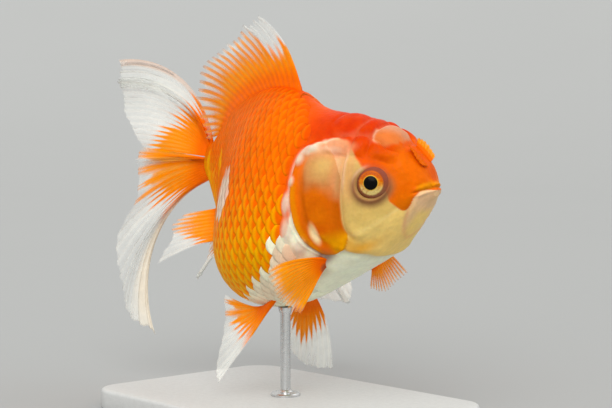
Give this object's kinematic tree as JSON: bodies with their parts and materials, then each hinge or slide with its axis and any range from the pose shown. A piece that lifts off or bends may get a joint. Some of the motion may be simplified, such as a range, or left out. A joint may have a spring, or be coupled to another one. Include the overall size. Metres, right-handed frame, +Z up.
{
  "type": "goldfish model",
  "caption": "Life-size still model of a red-orange and white twin-tailed fancy goldfish, turning, held over a flat base by an upright rod.",
  "frame": {"origin": "centre of the stand base's underside, on the floor", "axes": "+X the way the fish swims, +Y the fish's left, +Z up"},
  "size_m": [0.1184, 0.0828, 0.103],
  "materials": {
    "skin": "moist scaled skin, red-orange above, pale yellow and white below",
    "fin": "thin ribbed fin membrane, orange at the roots, clear white at the edges",
    "eye": "wet, with a black pupil in a gold and orange iris",
    "stand_base": "satin, plain",
    "stand_rod": "satin"
  },
  "bodies": {
    "root": {"head": "skin", "trunk": "skin", "tail_stalk": "skin", "gill_cover_right": "skin", "gill_cover_left": "skin", "nostril_flap_right": "skin", "nostril_flap_left": "skin", "eye_right": "eye", "eye_left": "eye", "dorsal_fin": "fin", "tail_upper_right": "fin", "tail_upper_left": "fin", "tail_lower_right": "fin", "tail_lower_left": "fin", "pectoral_fin_right": "fin", "pectoral_fin_left": "fin", "pelvic_fin_right": "fin", "pelvic_fin_left": "fin", "anal_fin_right": "fin", "anal_fin_left": "fin", "stand_base": "stand_base", "stand_rod": "stand_rod"}
  },
  "joints": []
}
